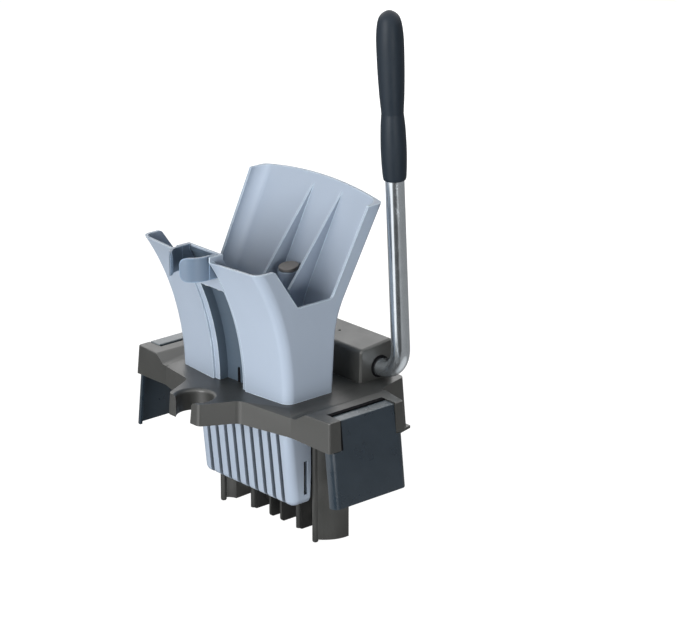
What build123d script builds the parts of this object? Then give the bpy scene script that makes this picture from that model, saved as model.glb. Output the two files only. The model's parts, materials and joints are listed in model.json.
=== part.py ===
"""Mop wringer that hangs on a bucket rim: funnel, strainer basket and a press jaw worked by a lever.

X runs to the right, Y to the back and Z up. The origin lies in the underside of the base plate, which
seats on the bucket rim, midway between the ends of the base. Lengths are in millimetres.
"""

import os
from math import cos, radians, sin, sqrt

from build123d import *

os.makedirs("parts", exist_ok=True)

# Walls and fits
wall = 3.0
fit_gap = 0.3
running_gap = 0.05
overlap = 1.0

# Base frame, seen from above
base_half_width = 158.5
end_front_y = -54.0
end_rear_y = 48.0
groove_front_y = -58.5
horn_root_x = 42.3
horn_root_y = -78.9
horn_tip_half = 24.3
horn_tip_y = -117.7
notch_radius = 20.0
notch_y = -103.0
rear_shoulder_x = 114.0
rear_shoulder_y = 57.0
rear_corner_x = 103.0
rear_corner_y = 100.0
end_corner_radius = 2.5
rear_corner_radius = 7.0
horn_root_radius = 12.0
horn_tip_radius = 6.0
notch_edge_radius = 4.0
skirt_draft = 3.4

# Base frame, heights
plate_thickness = 10.0
shoulder_rise = 2.0
skirt_drop = 21.0
horn_drop = 13.5
well_drop = 49.0
well_lip = 2.0
groove_floor = 3.2
groove_inner_x = 92.0
groove_bottom_x = 103.7
groove_outer_x = 124.0
groove_flat = 6.0
groove_rise_y = -40.0
groove_back_y = 50.0
groove_bend_radius = 8.0
rim_edge_radius = 1.5
rim_pad_gap = 4.0
rim_pad_length = 80.0
rim_pad_height = 1.5
apron_inset = 2.0
apron_start = 8.0
apron_reach = 13.0

# Mop chamber through the base plate
chamber_half_width = 63.0
chamber_front_y = -38.0
chamber_back_y = 12.0

# Funnel
funnel_half_width = 88.0
funnel_side_flare = 8.5
funnel_front_y = -50.0
front_sweep = 5.4
funnel_back_y = 13.5
wing_height = 153.0
wing_flare = 46.5
wing_return = 25.0
back_height = 197.0
back_knee_height = 82.0
back_draft = 2.0
back_lean = 27.4
back_knee_radius = 110.0
back_crown = 8.0
back_flange = 20.0
lip_radius = 6.0
sill_height = 106.0
sill_front_y = -39.0
channel_half_width = 19.3
channel_depth = 15.0
channel_lip_width = 7.0
channel_lip_depth = 3.5
corner_radius = 11.0
back_corner_radius = 5.0
back_inner_radius = 15.0
rib_places = (-10.0, 35.0)
rib_apex_y = -3.0
rib_apex_height = 104.0
rib_foot_height = 30.0
rib_top_drop = 8.0
slit_width = 3.0
slit_height = 17.0

# Pole clip in its pocket at the top of the channel
pole_radius = 21.0
clip_wall = 3.0
clip_height = 26.0
clip_mouth = 14.0
clip_tip_radius = 8.0
clip_foot_height = 132.5
clip_lift = 0.5
clip_side_gap = 1.0
clip_rear_y = -99.0
pocket_half_width = 24.6
pocket_height = 119.0
pocket_rise = 5.5
web_inset = 1.0
clip_screw_x = 10.0

# Strainer basket
basket_half_width = 75.5
basket_front_top_y = -43.5
basket_front_low_y = -31.5
basket_drop = 115.0
basket_back_y = -7.5
basket_back_low_y = -9.5
basket_back_straight = 80.5
basket_side_wall = 4.0
basket_floor = 5.0
basket_inner_radius = 1.5
basket_corner_radius = 9.0
basket_flange = 9.0
bar_pitch = 14.8
bar_gap = 6.0
bar_depth = 7.0
gap_count = 9
side_slot_y = -15.0
side_slot_width = 5.0
side_slot_height = 38.0
side_slot_lift = 12.0
basket_screw_ys = (-36.0, -12.0)

# Legs, each a nose-shaped channel open to the back
leg_nose = (77.0, -3.0)
leg_outer_mid = (88.0, 8.0)
leg_outer_end = (93.0, 29.0)
leg_inner_mid = (72.4, 3.0)
leg_inner_front = (66.2, 6.0)
leg_inner_end = (68.5, 44.0)
leg_drop = 157.0
leg_nose_drop = 160.5
leg_nose_radius = 3.3
leg_tip_radius = 2.0
leg_screw_offsets = ((2.0, 15.0), (3.0, 32.0))

# Lever shaft and lever
shaft_y = 78.0
shaft_z = 23.3
tube_radius = 10.0
tube_wall = 1.5
shaft_end_inset = 3.0
lever_stand_off = 4.0
lever_bend_radius = 30.0
lever_lean = 3.0
lever_length = 396.0
grip_length = 181.0
grip_end_radius = 12.3
grip_low_radius = 14.0
grip_waist_radius = 12.1
grip_top_radius = 14.7
grip_cap = 8.0
grip_low_part = 0.2
grip_waist_part = 0.45
grip_top_part = 0.8
grip_dome_part = 0.97
grip_dome_radius = 11.8
lever_travel = 70.0

# Press jaw and its pivot
jaw_pivot_y = 34.0
jaw_pivot_z = -150.0
jaw_half_width = 58.0
jaw_front_y = 6.5
jaw_plate = 4.0
jaw_plate_top_z = -8.0
jaw_plate_low_z = -104.0
jaw_low_z = -161.0
jaw_rib_back_y = 46.0
jaw_outer_rib_x = 38.0
jaw_outer_rib = 5.0
jaw_inner_rib_x = 9.0
jaw_inner_rib = 3.0
jaw_bead_radius = 3.2
jaw_bead_inset = 1.0
jaw_rib_radius = 4.0
jaw_slot_places = (17.0, 25.0, 44.0, 51.0)
jaw_slot_width = 4.0
jaw_slot_margin = 12.0
arm_foot_drop = 40.0
arm_foot_width = 14.0
arm_back_inset = 4.0
arm_neck = 6.0
arm_toe = (2.0, 4.0)
arm_slot_gap = 1.5
arm_slot_reach = 6.0
pin_radius = 5.0
pin_chamfer = 0.8
jaw_bush_wall = 2.0
jaw_travel = 8.4

# Cams that press the jaw's sloping pads
cam_width = 10.0
cam_hub_radius = 13.6
pad_slope = 48.0
pad_reach = 14.4
cam_gap = 0.3
pad_low = 13.5
pad_high = 13.5
cam_pin_radius = 2.0
cam_pin_inset = 0.5
cam_tip_back = (8.0, 7.0)
cam_steps = 8

# Shaft housing
housing_half_width = 89.0
housing_front_y = 50.5
housing_back_y = 97.0
housing_front_height = 37.0
housing_back_height = 41.5
housing_end_wall = 10.0
housing_lintel = 12.0
housing_top_radius = 5.0
housing_end_radius = 3.0
post_middle_x = 17.0
post_end_inset = 27.0
post_back_inset = 6.0
post_wall = 2.5
post_height = 14.0
oil_hole_x = 30.0
oil_hole_y = 73.0
oil_hole_radius = 1.5
bush_wall = 2.0
bush_flange = 3.0
bush_flange_lip = 0.8
ring_width = 4.0
plug_length = 10.0
plug_cap = 2.0

# Side panels
panel_front_y = -39.5
panel_back_y = 37.0
panel_low_front_y = -54.0
panel_low_back_y = 47.5
panel_low_z = -82.0
panel_slant = 11.0
panel_return = 9.0
panel_corner_radius = 8.0
panel_inset = 2.0
panel_top_width = 16.0
panel_slot_gap = 3.5
panel_foot_width = 20.0
panel_step_gap = 1.0
panel_screw_ys = (-20.0, 18.0)

# Funnel lock
lock_x = 10.0
lock_knob_height = 115.5
lock_knob_radius = 10.8
lock_knob_thickness = 2.5
lock_knob_slope = 9.0
lock_knob_edge = 0.8
lock_boss_rim = 1.0
lock_boss_gap = 0.8
lock_socket = 3.0
lock_rod_radius = 3.0
lock_rod_end = 2.0
lock_bar_z = -2.0
lock_bar_length = 11.0
lock_bar_width = 3.0
lock_bar_height = 3.0

# Screws
screw_radius = 2.0
screw_head_radius = 4.0
screw_head = 2.4
screw_bite = 7.0
screw_end_gap = 0.5
screw_slot_length = 4.8
screw_slot_width = 1.0
screw_slot_depth = 1.0

# Springs
lever_spring_wire = 2.2
lever_spring_turns = 6
lever_spring_gap = 0.6
jaw_spring_wire = 2.0
jaw_spring_turns = 4
jaw_spring_gap = 0.8
coil_gap = 0.6

# Values that follow from the sizes above
plate_top = plate_thickness
sweep_tangent = sin(radians(front_sweep)) / cos(radians(front_sweep))
lean_tangent = sin(radians(back_lean)) / cos(radians(back_lean))
draft_tangent = sin(radians(skirt_draft)) / cos(radians(skirt_draft))
knob_tangent = sin(radians(lock_knob_slope)) / cos(radians(lock_knob_slope))
knob_wall_y = funnel_back_y + back_draft - wall + (lock_knob_height - back_knee_height) * lean_tangent
lock_y = knob_wall_y - lock_knob_radius - fit_gap
knob_z = plate_top + lock_knob_height
lever_x = housing_half_width + lever_stand_off + lever_bend_radius
shaft_left_x = shaft_end_inset - housing_half_width
flare_radius = (wing_height**2 + wing_flare**2) / (2 * wing_flare)
wing_top = plate_top + wing_height
wing_front_at_centre = funnel_front_y - funnel_half_width * sweep_tangent
channel_front_y = wing_front_at_centre + channel_half_width * sweep_tangent
jaw_ratio = jaw_travel / lever_travel
all_x = base_half_width + lever_x
beyond = 2 * back_height
sides = {"left": -1, "right": 1}


def flare_at(height):
    """How far forward of its foot the curved front stands at a height above the base plate."""
    return flare_radius - sqrt(flare_radius**2 - height**2)


def finish(builder, label):
    """Label a finished piece and write it."""
    builder.part.label = label
    export_step(builder.part, f"parts/{label}.step")


def drill(places, top, depth, radius):
    """Cut round holes downwards from a height, inside the current part."""
    with Locations(*[(x, y, top) for x, y in places]):
        Cylinder(radius, depth, align=(Align.CENTER, Align.CENTER, Align.MAX), mode=Mode.SUBTRACT)


def screw_group(label, places, head_z, length):
    """Pan-head screws with a cross slot, driven upwards from a height."""
    with BuildPart() as screws:
        with Locations(*[(x, y, head_z) for x, y in places]):
            Cylinder(screw_head_radius, screw_head, align=(Align.CENTER, Align.CENTER, Align.MAX))
            Cylinder(screw_radius, length, align=(Align.CENTER, Align.CENTER, Align.MIN))
        with Locations(*[(x, y, head_z - screw_head) for x, y in places]):
            Box(screw_slot_length, screw_slot_width, 2 * screw_slot_depth, mode=Mode.SUBTRACT)
            Box(screw_slot_width, screw_slot_length, 2 * screw_slot_depth, mode=Mode.SUBTRACT)
    finish(screws, label)


# Screw places, shared by the pieces that each screw joins
post_outer_x = housing_half_width - post_end_inset
post_places = (-post_outer_x, -post_middle_x, post_middle_x, post_outer_x)
housing_screw_places = [(x, housing_back_y - post_back_inset) for x in post_places]
leg_screw_places = {
    name: [(side * (leg_nose[0] + dx), leg_nose[1] + dy) for dx, dy in leg_screw_offsets]
    for name, side in sides.items()
}
basket_screw_places = [
    (side * (basket_half_width + basket_flange / 2), y) for side in (-1, 1) for y in basket_screw_ys
]
panel_top_x = base_half_width - panel_inset
panel_inner_x = panel_top_x - panel_top_width
panel_foot_inner_x = panel_inner_x - panel_foot_width
panel_screw_places = {
    name: [(side * (panel_foot_inner_x + panel_foot_width / 3), y) for y in panel_screw_ys]
    for name, side in sides.items()
}
rim_pad_inner_x = leg_outer_end[0] + rim_pad_gap
rim_pad_outer_x = panel_foot_inner_x - rim_pad_gap
pocket_z = plate_top + pocket_height
pocket_back_y = channel_front_y + channel_depth - flare_at(pocket_height)
web_back_y = channel_front_y + web_inset + wall - flare_at(pocket_height)
clip_screw_places = [(x, (pocket_back_y + web_back_y) / 2) for x in (-clip_screw_x, clip_screw_x)]


# Base frame
front_edge = [
    (base_half_width, end_front_y),
    (groove_bottom_x, groove_front_y),
    (horn_root_x, horn_root_y),
    (horn_tip_half, horn_tip_y),
]
rear_edge = [
    (rear_corner_x, rear_corner_y),
    (rear_shoulder_x, rear_shoulder_y),
    (base_half_width, end_rear_y),
]
left_front_edge = [(-x, y) for x, y in reversed(front_edge)]
left_rear_edge = [(-x, y) for x, y in reversed(rear_edge)]
base_outline = front_edge[::-1] + rear_edge[::-1] + left_rear_edge[::-1] + left_front_edge[::-1]
well_outline = [
    (-rear_shoulder_x, rear_shoulder_y - wall),
    (-rear_shoulder_x, rear_shoulder_y),
    (-rear_corner_x, rear_corner_y),
    (rear_corner_x, rear_corner_y),
    (rear_shoulder_x, rear_shoulder_y),
    (rear_shoulder_x, rear_shoulder_y - wall),
]
arm_slot_half = cam_width / 2 + arm_slot_gap
arm_slot_back_y = shaft_y + arm_slot_reach
panel_slot_x = panel_inner_x - panel_slot_gap
shoulder_top = plate_top + shoulder_rise

well_spread = (well_drop + shoulder_top) * draft_tangent

# Low middle of the plate between the raised shoulders, with a groove along each side that drains forward
with BuildPart() as low_middle_form:
    with BuildSketch(Plane.XZ):
        with BuildLine():
            for side in (-1, 1):
                FilletPolyline(
                    (side * groove_inner_x, plate_top),
                    (side * groove_bottom_x, groove_floor),
                    (side * (groove_bottom_x + groove_flat), groove_floor),
                    (side * groove_outer_x, shoulder_top),
                    (side * (groove_outer_x + groove_bend_radius), shoulder_top + overlap),
                    radius=groove_bend_radius,
                )
            Line((-groove_inner_x, plate_top), (groove_inner_x, plate_top))
            Polyline(
                (groove_outer_x + groove_bend_radius, shoulder_top + overlap),
                (groove_outer_x, shoulder_top + plate_thickness),
                (-groove_outer_x, shoulder_top + plate_thickness),
                (-groove_outer_x - groove_bend_radius, shoulder_top + overlap),
            )
        make_face()
    extrude(amount=all_x, both=True)
    with BuildSketch(Plane.YZ):
        Polygon(
            (-all_x, groove_floor),
            (groove_rise_y, groove_floor),
            (groove_back_y, plate_top),
            (all_x, plate_top),
            (all_x, shoulder_top + plate_thickness),
            (-all_x, shoulder_top + plate_thickness),
            align=None,
        )
    extrude(amount=all_x, both=True, mode=Mode.INTERSECT)

with BuildPart() as base_frame:
    with BuildSketch(Plane.XY.offset(shoulder_top)):
        Polygon(*base_outline, align=None)
    extrude(amount=skirt_drop + shoulder_top, dir=(0, 0, -1), taper=-skirt_draft)
    drill([(0, notch_y)], shoulder_top, shoulder_top + skirt_drop, notch_radius)
    with BuildSketch(Plane.XY.offset(shoulder_top)):
        Polygon(*well_outline, align=None)
    extrude(amount=well_drop + shoulder_top, dir=(0, 0, -1), taper=-skirt_draft)
    corner_roundings = [
        (lambda e: abs(e.center().X) > groove_outer_x, end_corner_radius),
        (lambda e: e.center().Y > rear_corner_y - wall, rear_corner_radius),
        (lambda e: abs(abs(e.center().X) - horn_root_x) < wall, horn_root_radius),
        (lambda e: abs(abs(e.center().X) - horn_tip_half) < wall, horn_tip_radius),
    ]
    for chosen, radius in corner_roundings:
        upright = base_frame.edges().filter_by(lambda e: e.bounding_box().size.Z > skirt_drop)
        fillet(upright.filter_by(chosen), radius=radius)

    add(low_middle_form, mode=Mode.SUBTRACT)
    # Aprons that fall from the foot of the funnel to the front edge
    for side in (-1, 1):
        corner = Vector(side * horn_root_x, horn_root_y, plate_top)
        seat = Vector(side * groove_inner_x, funnel_front_y - apron_inset, plate_top)
        low = Vector(side * groove_bottom_x, groove_front_y, groove_floor)
        front_run = Vector(low.X - corner.X, low.Y - corner.Y)
        root = corner + front_run.normalized() * apron_start
        outward = ((root + low) * 0.5 - seat).normalized() * apron_reach
        apron = Plane(origin=root, x_dir=seat - root, z_dir=(seat - root).cross(low - root) * -side)
        corners = [root, seat, low, low + outward, root + outward]
        with BuildSketch(apron):
            Polygon(*[tuple(apron.to_local_coords(point))[:2] for point in corners], align=None)
        extrude(amount=plate_thickness, mode=Mode.SUBTRACT)

    round_edges = base_frame.edges().filter_by(GeomType.CIRCLE)
    notch_edges = round_edges.filter_by(lambda e: abs(e.radius - notch_radius) < running_gap)
    fillet(notch_edges.sort_by(Axis.Z)[-1], radius=notch_edge_radius)
    flat_edges = base_frame.edges().filter_by(lambda e: abs(e.center().Z - shoulder_top) < running_gap)
    end_edges = flat_edges.filter_by(lambda e: abs(e.center().X) > base_half_width - end_corner_radius)
    fillet(end_edges, radius=rim_edge_radius)

    # Hollow under the plate, leaving skirts all round
    with BuildSketch(Plane.XY.offset(-well_drop)):
        with BuildLine():
            Polyline(*base_outline, close=True)
        make_face()
        with Locations((0, notch_y)):
            Circle(notch_radius, mode=Mode.SUBTRACT)
        offset(amount=-wall, kind=Kind.INTERSECTION)
    extrude(amount=well_drop, mode=Mode.SUBTRACT)

    # The front skirt is shallow at the horns and deep at the ends
    with BuildSketch(Plane.XZ):
        Polygon(
            (-base_half_width, -skirt_drop),
            (-horn_tip_half, -horn_drop),
            (horn_tip_half, -horn_drop),
            (base_half_width, -skirt_drop),
            align=None,
        )
    extrude(amount=all_x, mode=Mode.SUBTRACT)

    # Mop chamber, slots for the jaw's arms, and the open corners for the side panels
    with BuildSketch(Plane.XY):
        with Locations((0, (chamber_front_y + chamber_back_y) / 2)):
            Rectangle(2 * chamber_half_width, chamber_back_y - chamber_front_y)
        for side in (-1, 1):
            with Locations((side * jaw_outer_rib_x, (chamber_back_y + arm_slot_back_y) / 2)):
                Rectangle(2 * arm_slot_half, arm_slot_back_y - chamber_back_y)
    extrude(amount=plate_thickness, mode=Mode.SUBTRACT)
    with BuildSketch(Plane.XY.offset(-skirt_drop)):
        for side in (-1, 1):
            with Locations((side * (panel_slot_x + panel_top_width), (panel_front_y + panel_back_y) / 2)):
                Rectangle(2 * panel_top_width, panel_back_y - panel_front_y)
    extrude(amount=skirt_drop + shoulder_top, mode=Mode.SUBTRACT)
    # Foot lip round the rear well
    with BuildSketch(Plane.XY.offset(-well_drop)):
        Polygon(*well_outline, align=None)
        offset(amount=well_spread + well_lip, kind=Kind.INTERSECTION)
        Polygon(*well_outline, align=None, mode=Mode.SUBTRACT)
    extrude(amount=wall)

    # Pads that sit on the bucket rim
    rim_pad_x = (rim_pad_inner_x + rim_pad_outer_x) / 2
    with Locations((-rim_pad_x, 0, 0), (rim_pad_x, 0, 0)):
        Box(
            rim_pad_outer_x - rim_pad_inner_x,
            rim_pad_length,
            rim_pad_height,
            align=(Align.CENTER, Align.CENTER, Align.MAX),
        )

    # Screw holes
    drill(housing_screw_places, plate_top, plate_thickness, screw_radius + fit_gap)
    under_screws = basket_screw_places + leg_screw_places["left"] + leg_screw_places["right"]
    under_screws += panel_screw_places["left"] + panel_screw_places["right"]
    drill(under_screws, screw_bite + screw_end_gap, screw_bite + screw_end_gap, screw_radius)
    drill([(lock_x, lock_y)], plate_top, plate_thickness, lock_rod_radius + fit_gap)
    with Locations((lock_x, lock_y, plate_thickness / 2)):
        Box(
            lock_bar_length + 2 * fit_gap,
            lock_bar_width + 2 * fit_gap,
            plate_thickness,
            mode=Mode.SUBTRACT,
        )
finish(base_frame, "base_frame")


# Funnel
sweep_plane = Plane(
    origin=(0, wing_front_at_centre, plate_top),
    x_dir=(-sin(radians(front_sweep)), cos(radians(front_sweep)), 0),
    z_dir=(cos(radians(front_sweep)), sin(radians(front_sweep)), 0),
)
channel_plane = Plane((0, channel_front_y, plate_top), x_dir=(0, 1, 0), z_dir=(1, 0, 0))
funnel_top = plate_top + back_height + back_crown
knee = (funnel_back_y + back_draft, plate_top + back_knee_height)
back_top_y = knee[0] + (funnel_top - knee[1]) * lean_tangent
far_front_y = horn_tip_y - wing_flare


def front_arc(shift, foot, top):
    """Arc of the curved front between two heights, moved back by a shift."""
    middle = (foot + top) / 2
    return ThreePointArc(*[(shift - flare_at(height), height) for height in (foot, middle, top)])


def front_curve(shift, reach, foot=0):
    """Closed outline on one side of the curved front, in a plane that stands on the base plate."""
    low = front_arc(shift, foot, wing_height)
    high = back_height + wing_flare
    Polyline(low @ 1, (shift - wing_flare, high), (reach, high), (reach, foot), low @ 0)


def funnel_block(inset):
    """Right half of the funnel's form, pulled in by an inset on every side."""
    with BuildPart() as block:
        with BuildSketch(Plane.YZ):
            with BuildLine():
                back = FilletPolyline(
                    (funnel_back_y - inset, plate_top),
                    (knee[0] - inset, knee[1]),
                    (back_top_y - inset, funnel_top),
                    radius=back_knee_radius,
                )
                Polyline(back @ 1, (far_front_y, funnel_top), (far_front_y, plate_top), back @ 0)
            make_face()
        extrude(amount=funnel_half_width + funnel_side_flare)
        with BuildSketch(sweep_plane):
            with BuildLine():
                front_curve(inset, beyond)
            make_face()
        extrude(amount=2 * funnel_half_width, both=True, mode=Mode.INTERSECT)
        with BuildSketch(Plane.XZ):
            Polygon(
                (0, plate_top),
                (funnel_half_width - inset, plate_top),
                (funnel_half_width + funnel_side_flare - inset, funnel_top),
                (0, funnel_top),
                align=None,
            )
        extrude(amount=all_x, both=True, mode=Mode.INTERSECT)
        front_edges = block.edges().filter_by(lambda e: e.center().Y < 0)
        side_edges = front_edges.filter_by(lambda e: e.center().X > channel_half_width)
        tall = side_edges.filter_by(lambda e: e.bounding_box().size.Z > corner_radius)
        fillet(tall, radius=corner_radius - inset)
        back_edges = block.edges().filter_by(lambda e: e.center().Y > 0)
        side_edges = back_edges.filter_by(lambda e: e.center().X > chamber_half_width)
        rising = side_edges.filter_by(lambda e: e.bounding_box().size.Z > corner_radius)
        fillet(rising, radius=back_corner_radius + (back_inner_radius - back_corner_radius) * inset / wall)
        steps = [
            (channel_half_width + channel_lip_width, channel_lip_depth, 0),
            (channel_half_width, channel_depth, 0),
            (pocket_half_width, channel_depth, pocket_height - inset),
        ]
        for half_width, depth, foot in steps:
            with BuildSketch(channel_plane):
                with BuildLine():
                    front_curve(depth + inset, -beyond, foot)
                make_face()
            extrude(amount=half_width + inset, mode=Mode.SUBTRACT)
    return block.part


outer_half = funnel_block(0)
inner_half = funnel_block(wall)

middle_half = funnel_block(wall / 2)

# Guide ribs and the boss under the lock knob, rooted halfway into the back wall
with BuildPart() as middle_form:
    add(middle_half)
    mirror(middle_half, about=Plane.YZ)
with BuildPart() as guide_ribs:
    for x in rib_places:
        with BuildSketch(Plane.YZ.offset(x - wall / 2)):
            Polygon(
                (funnel_back_y - wall, plate_top + rib_foot_height),
                (rib_apex_y, plate_top + rib_apex_height),
                (back_top_y - wall - rib_top_drop * lean_tangent, funnel_top - rib_top_drop),
                (back_top_y, funnel_top - rib_top_drop),
                (back_top_y, plate_top + rib_foot_height),
                align=None,
            )
        extrude(amount=wall)
    with Locations((lock_x, lock_y, knob_z - lock_boss_gap)):
        Cylinder(
            lock_knob_radius + lock_boss_rim,
            lock_knob_height - back_knee_height,
            align=(Align.CENTER, Align.CENTER, Align.MAX),
        )
    add(middle_form.part, mode=Mode.INTERSECT)

with BuildPart() as funnel:
    add(outer_half)
    mirror(outer_half, about=Plane.YZ)
    add(inner_half, mode=Mode.SUBTRACT)
    mirror(inner_half, about=Plane.YZ, mode=Mode.SUBTRACT)
    # Open top: low front wings, dipped sides and a tall crowned back with narrow flanges
    flange_foot_y = knee[0] + (plate_top + sill_height - knee[1]) * lean_tangent - back_flange
    flange_top_y = back_top_y - back_flange
    wing_side_y = funnel_front_y - wing_flare + wing_return
    pocket_wall_x = pocket_half_width + wall
    top_cuts = [
        (-all_x, -pocket_wall_x, 0),
        (-pocket_wall_x, pocket_wall_x, pocket_rise),
        (pocket_wall_x, all_x, 0),
    ]
    for from_x, to_x, rise in top_cuts:
        with BuildSketch(Plane.YZ.offset(from_x)):
            with BuildLine():
                lip = FilletPolyline(
                    (far_front_y, wing_top + rise),
                    (wing_side_y, wing_top + rise),
                    (sill_front_y, plate_top + sill_height),
                    (flange_foot_y, plate_top + sill_height),
                    (flange_top_y, funnel_top + overlap),
                    radius=lip_radius,
                )
                Polyline(lip @ 1, (far_front_y, funnel_top + overlap), lip @ 0)
            make_face()
        extrude(amount=to_x - from_x, mode=Mode.SUBTRACT)
    crown_half = funnel_half_width + funnel_side_flare
    with BuildSketch(Plane.XZ):
        with BuildLine():
            crown_end_z = plate_top + back_height
            crown = ThreePointArc((-crown_half, crown_end_z), (0, funnel_top), (crown_half, crown_end_z))
            above_z = funnel_top + back_crown
            Polyline(crown @ 1, (crown_half, above_z), (-crown_half, above_z), crown @ 0)
        make_face()
    extrude(amount=all_x, both=True, mode=Mode.SUBTRACT)
    add(guide_ribs.part)
    # Web across the front of the clip's pocket, and the pocket's floor
    with BuildSketch(channel_plane):
        with BuildLine():
            front = front_arc(web_inset, pocket_height - wall, clip_foot_height)
            rear = front_arc(web_inset + wall, pocket_height - wall, clip_foot_height)
            Line(front @ 0, rear @ 0)
            Line(front @ 1, rear @ 1)
        make_face()
    extrude(amount=pocket_half_width, both=True)
    with Locations((0, (pocket_back_y + web_back_y) / 2, pocket_z)):
        Box(
            2 * pocket_half_width,
            pocket_back_y - web_back_y + wall,
            wall,
            align=(Align.CENTER, Align.CENTER, Align.MAX),
        )
    drill(clip_screw_places, pocket_z, wall, screw_radius + fit_gap)
    # Slit at the foot of the channel and the hole for the lock rod
    with Locations((0, channel_front_y + channel_depth, plate_top)):
        Box(
            slit_width,
            4 * wall,
            slit_height,
            align=(Align.CENTER, Align.CENTER, Align.MIN),
            mode=Mode.SUBTRACT,
        )
    drill([(lock_x, lock_y)], wing_top, wing_height, lock_rod_radius + fit_gap)
finish(funnel, "funnel")


# Pole clip: two arms round the pole on a bracket that stands in the pocket
clip_z = plate_top + clip_foot_height + clip_lift
clip_top = clip_z + clip_height
tail_outer = pocket_half_width - fit_gap
pocket_top_y = channel_front_y + channel_depth - wing_flare
web_top_y = channel_front_y + web_inset + wall - flare_at(clip_foot_height)
with BuildPart() as pole_clip:
    with BuildSketch(Plane.XY.offset(clip_z)):
        with Locations((0, notch_y)):
            Circle(pole_radius + clip_wall)
            Circle(pole_radius, mode=Mode.SUBTRACT)
            Rectangle(clip_mouth, 4 * pole_radius, align=(Align.CENTER, Align.MAX), mode=Mode.SUBTRACT)
        with Locations((0, clip_rear_y)):
            Rectangle(4 * pole_radius, 4 * pole_radius, align=(Align.CENTER, Align.MIN), mode=Mode.SUBTRACT)
    extrude(amount=clip_height)
    # Rounded ends of the arms
    arm_reach = pole_radius - clip_mouth / 2
    with BuildSketch(Plane.XZ.offset(-notch_y)):
        Rectangle(clip_mouth + 2 * arm_reach, 2 * clip_top)
        for side in (-1, 1):
            with Locations((side * clip_mouth / 2, clip_z + clip_height / 2)):
                RectangleRounded(
                    4 * arm_reach,
                    clip_height,
                    clip_tip_radius,
                    align=(Align.MIN if side > 0 else Align.MAX, Align.CENTER),
                    mode=Mode.SUBTRACT,
                )
    extrude(amount=2 * pole_radius, mode=Mode.SUBTRACT)
    for side in (-1, 1):
        with BuildSketch(Plane.YZ.offset(side * (tail_outer - clip_wall / 2) - clip_wall / 2)):
            Polygon(
                (web_back_y + clip_side_gap, pocket_z),
                (pocket_back_y - clip_side_gap, pocket_z),
                (pocket_top_y - clip_side_gap, wing_top),
                (pocket_top_y - clip_side_gap, clip_top),
                (clip_rear_y - overlap, clip_top),
                (clip_rear_y - overlap, clip_z),
                (web_top_y + clip_side_gap, clip_z),
                align=None,
            )
        extrude(amount=clip_wall)
    with Locations((0, (pocket_back_y + web_back_y) / 2, pocket_z)):
        Box(
            2 * tail_outer,
            pocket_back_y - web_back_y - 2 * wall,
            wall,
            align=(Align.CENTER, Align.CENTER, Align.MIN),
        )
    drill(clip_screw_places, pocket_z + wall, wall, screw_radius)
finish(pole_clip, "pole_clip")


# Strainer basket, hung under the base plate
basket_floor_z = -basket_drop
basket_inner_half = basket_half_width - basket_side_wall
with BuildPart() as strainer_basket:
    with BuildSketch(Plane.YZ):
        Polygon(
            (basket_back_y, 0),
            (basket_front_top_y, 0),
            (basket_front_low_y, basket_floor_z),
            (basket_back_low_y, basket_floor_z),
            (basket_back_y, -basket_back_straight),
            align=None,
        )
    extrude(amount=basket_half_width, both=True)
    front_foot = strainer_basket.edges().filter_by(Axis.X).group_by(Axis.Z)[0].sort_by(Axis.Y)[0]
    fillet(front_foot, radius=bar_depth)
    front_edges = strainer_basket.faces().sort_by(Axis.Y)[0].edges()
    corner_edges = front_edges.filter_by(lambda e: abs(e.center().X) > basket_inner_half)
    fillet(corner_edges, radius=basket_corner_radius)
    with BuildSketch(Plane.YZ):
        with BuildLine():
            FilletPolyline(
                (basket_back_y + wall, 0),
                (basket_front_top_y + bar_depth, 0),
                (basket_front_low_y + bar_depth, basket_floor_z + basket_floor),
                (basket_back_y + wall, basket_floor_z + basket_floor),
                close=True,
                radius=basket_inner_radius,
            )
        make_face()
    extrude(amount=basket_inner_half, both=True, mode=Mode.SUBTRACT)
    with BuildSketch(Plane.XY):
        flange_depth = basket_back_y - basket_front_top_y + basket_flange
        with Locations((0, basket_back_y - flange_depth / 2)):
            Rectangle(2 * (basket_half_width + basket_flange), flange_depth)
        inner_depth = basket_back_y - basket_front_top_y - bar_depth
        with Locations((0, basket_back_y - inner_depth / 2)):
            Rectangle(2 * basket_inner_half, inner_depth, mode=Mode.SUBTRACT)
    extrude(amount=-wall)
    # Gaps between the upright bars, carried on through the floor
    gap_top = -skirt_drop / 2
    with Locations(*[((i - (gap_count - 1) / 2) * bar_pitch, 0, 0) for i in range(gap_count)]):
        with Locations((0, basket_front_top_y, gap_top)):
            Box(
                bar_gap,
                2 * (basket_back_low_y - basket_front_top_y - bar_depth),
                basket_drop,
                align=(Align.CENTER, Align.CENTER, Align.MAX),
                mode=Mode.SUBTRACT,
            )
    with Locations((0, side_slot_y, basket_floor_z + side_slot_lift)):
        Box(
            2 * (basket_half_width + wall),
            side_slot_width,
            side_slot_height,
            align=(Align.CENTER, Align.CENTER, Align.MIN),
            mode=Mode.SUBTRACT,
        )
    drill(basket_screw_places, 0, wall, screw_radius + fit_gap)
finish(strainer_basket, "strainer_basket")
under_length = screw_bite + wall
screw_group("basket_screws", basket_screw_places, -wall, under_length)
screw_group("pole_clip_screws", clip_screw_places, pocket_z - wall, 2 * wall - screw_end_gap)


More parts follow.
